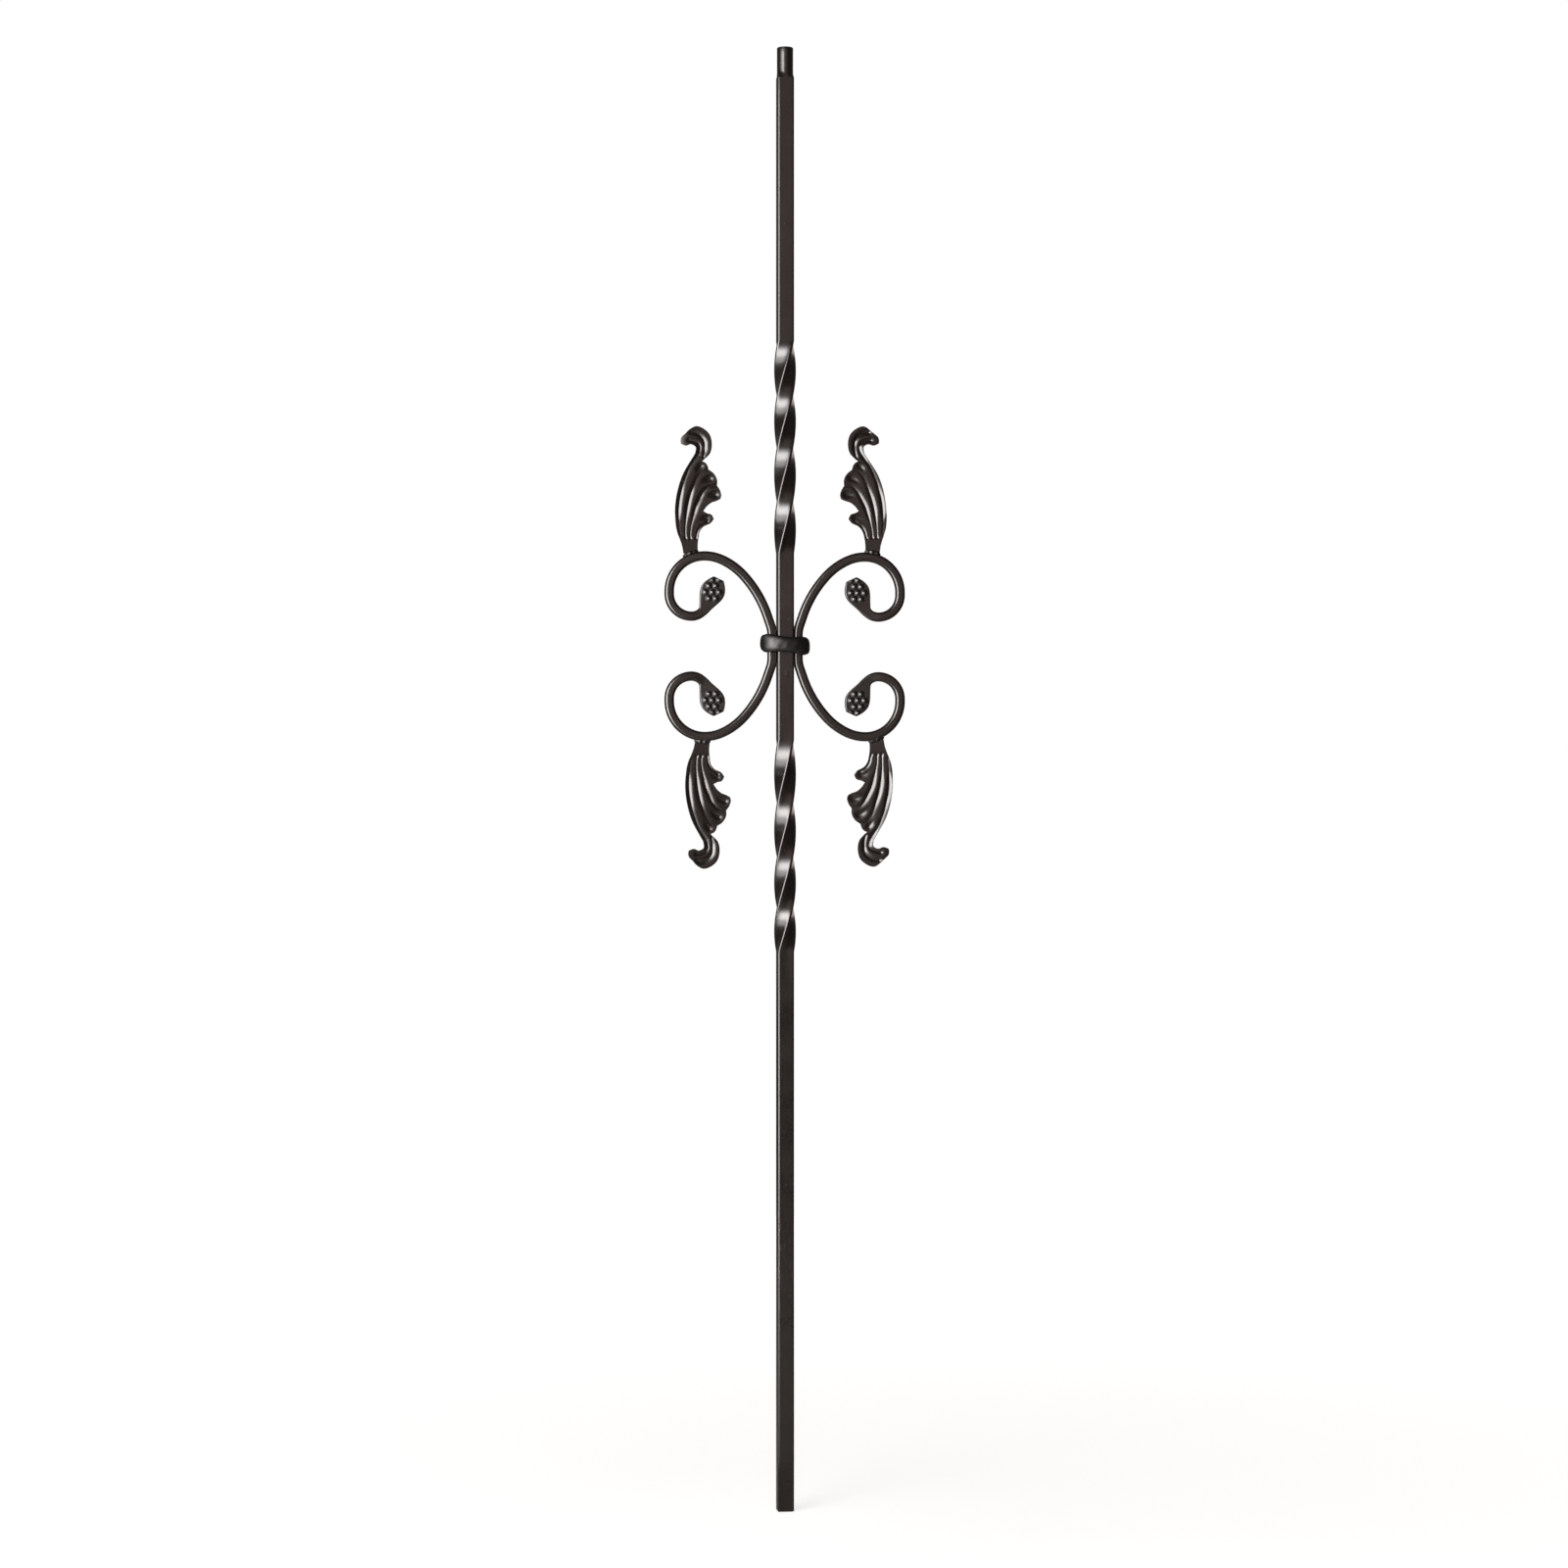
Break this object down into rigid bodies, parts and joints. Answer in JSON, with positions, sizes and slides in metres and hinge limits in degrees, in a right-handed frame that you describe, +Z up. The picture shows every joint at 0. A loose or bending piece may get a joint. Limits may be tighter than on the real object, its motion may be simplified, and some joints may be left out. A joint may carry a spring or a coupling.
{
  "type": "iron stair baluster",
  "caption": "Slender square iron stair baluster with a twist above and below a pair of C scrolls bound by a collar, with acanthus leaves and studded berry ends.",
  "frame": {"origin": "centre of the bar's square foot end", "axes": "+Z up the bar, the scrolls and leaves lie in the XZ plane, the front faces -Y"},
  "size_m": [0.1848, 0.0242, 1.1176],
  "materials": {
    "bronze_coat": "satin dark bronze powder coat over iron"
  },
  "bodies": {
    "root": {"baluster_bar": "bronze_coat", "collar": "bronze_coat", "left_scroll": "bronze_coat", "right_scroll": "bronze_coat", "upper_left_leaf": "bronze_coat", "upper_right_leaf": "bronze_coat", "lower_left_leaf": "bronze_coat", "lower_right_leaf": "bronze_coat"}
  },
  "joints": []
}
